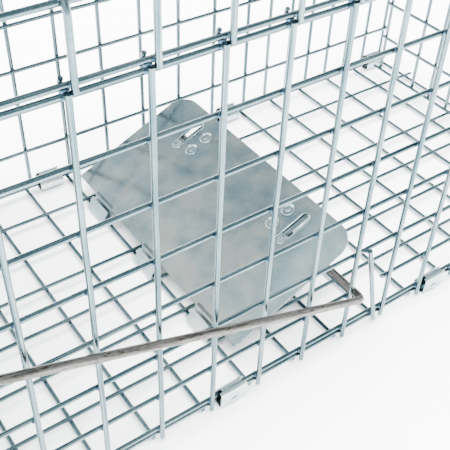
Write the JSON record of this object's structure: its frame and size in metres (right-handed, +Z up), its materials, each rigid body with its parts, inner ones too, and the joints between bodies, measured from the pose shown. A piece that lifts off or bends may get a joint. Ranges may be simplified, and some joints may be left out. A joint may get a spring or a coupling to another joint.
{
  "type": "live catch trap",
  "caption": "Wire-mesh live animal cage trap: welded wire cage, pivoting treadle, diagonal trip rod, falling door with lock bar, and a carrying handle.",
  "frame": {"origin": "centre of the trap's footprint, on the surface that its edge clips stand on", "axes": "+X along the cage from the door to the bait end, +Y away from the trip rod side, +Z up"},
  "size_m": [0.618, 0.1948, 0.2162],
  "materials": {
    "zinc_wire": "bright zinc-plated welded wire, faintly blue",
    "zinc_sheet": "galvanised sheet, soft mottled grey",
    "bare_steel_rod": "drawn bare steel rod, warm grey with dark streaks"
  },
  "bodies": {
    "cage": {"floor_panel": "zinc_wire", "right_side_panel": "zinc_wire", "left_side_panel": "zinc_wire", "roof_panel": "zinc_wire", "roof_flange_right": "zinc_wire", "roof_flange_left": "zinc_wire", "edge_clip_right_1": "zinc_sheet", "edge_clip_left_1": "zinc_sheet", "edge_clip_right_2": "zinc_sheet", "edge_clip_left_2": "zinc_sheet", "edge_clip_right_3": "zinc_sheet", "edge_clip_left_3": "zinc_sheet", "edge_clip_right_4": "zinc_sheet", "edge_clip_left_4": "zinc_sheet", "edge_clip_right_5": "zinc_sheet", "edge_clip_left_5": "zinc_sheet", "edge_clip_right_6": "zinc_sheet", "edge_clip_left_6": "zinc_sheet", "rod_sleeve": "zinc_sheet", "rod_guide": "zinc_wire", "door_hinge_ear_right": "zinc_sheet", "door_hinge_ear_left": "zinc_sheet", "door_hinge_rod": "bare_steel_rod", "lock_stop_right": "zinc_sheet", "lock_stop_left": "zinc_sheet", "front_frame": "zinc_wire", "rear_hinge_clip_right": "zinc_sheet", "rear_hinge_clip_left": "zinc_sheet", "handle_guard": "zinc_sheet", "handle_clip_front": "zinc_sheet", "handle_clip_rear": "zinc_sheet"},
    "treadle": {"treadle_plate": "zinc_sheet", "trigger_bracket_right": "zinc_sheet", "trigger_bracket_left": "zinc_sheet", "bracket_rivet_1": "zinc_sheet", "bracket_rivet_2": "zinc_sheet", "bracket_rivet_3": "zinc_sheet", "bracket_rivet_4": "zinc_sheet"},
    "trip_rod": {"trip_rod": "bare_steel_rod"},
    "door": {"door": "zinc_sheet", "door_catch": "zinc_sheet", "lock_bar_keeper_right": "zinc_sheet", "lock_bar_keeper_left": "zinc_sheet"},
    "lock_bar": {"lock_bar": "bare_steel_rod"},
    "rear_panel": {"rear_panel": "zinc_wire"},
    "handle": {"handle": "bare_steel_rod"}
  },
  "joints": [
    {"name": "treadle_hinge", "type": "hinge", "parent": "cage", "child": "treadle", "pos_m": [0.0539, 0.0033, 0.0034], "axis": [0, 1, 0], "range_deg": [0, 15.5]},
    {"name": "trip_rod_swing", "type": "hinge", "parent": "cage", "child": "trip_rod", "pos_m": [-0.29964, 0.0033, 0.02081], "axis": [0, 1, 0], "range_deg": [0, 2.43]},
    {"name": "door_hinge", "type": "hinge", "parent": "cage", "child": "door", "pos_m": [-0.2869, 0.0033, 0.1994], "axis": [0, 1, 0], "range_deg": [0, 60]},
    {"name": "lock_bar_pivot", "type": "hinge", "parent": "door", "child": "lock_bar", "pos_m": [-0.1369, 0.0033, 0.1956], "axis": [0, 1, 0], "range_deg": [-88, 0]},
    {"name": "rear_panel_hinge", "type": "hinge", "parent": "cage", "child": "rear_panel", "pos_m": [0.2934, 0.0033, 0.2028], "axis": [0, 1, 0], "range_deg": [0, 80]},
    {"name": "handle_pivot", "type": "hinge", "parent": "cage", "child": "handle", "pos_m": [0.0031, -0.0177, 0.213], "axis": [1, 0, 0], "range_deg": [0, 180]}
  ],
  "couplings": [
    {"joint": "trip_rod_swing", "follows": "treadle_hinge", "ratio": 0.1565}
  ]
}
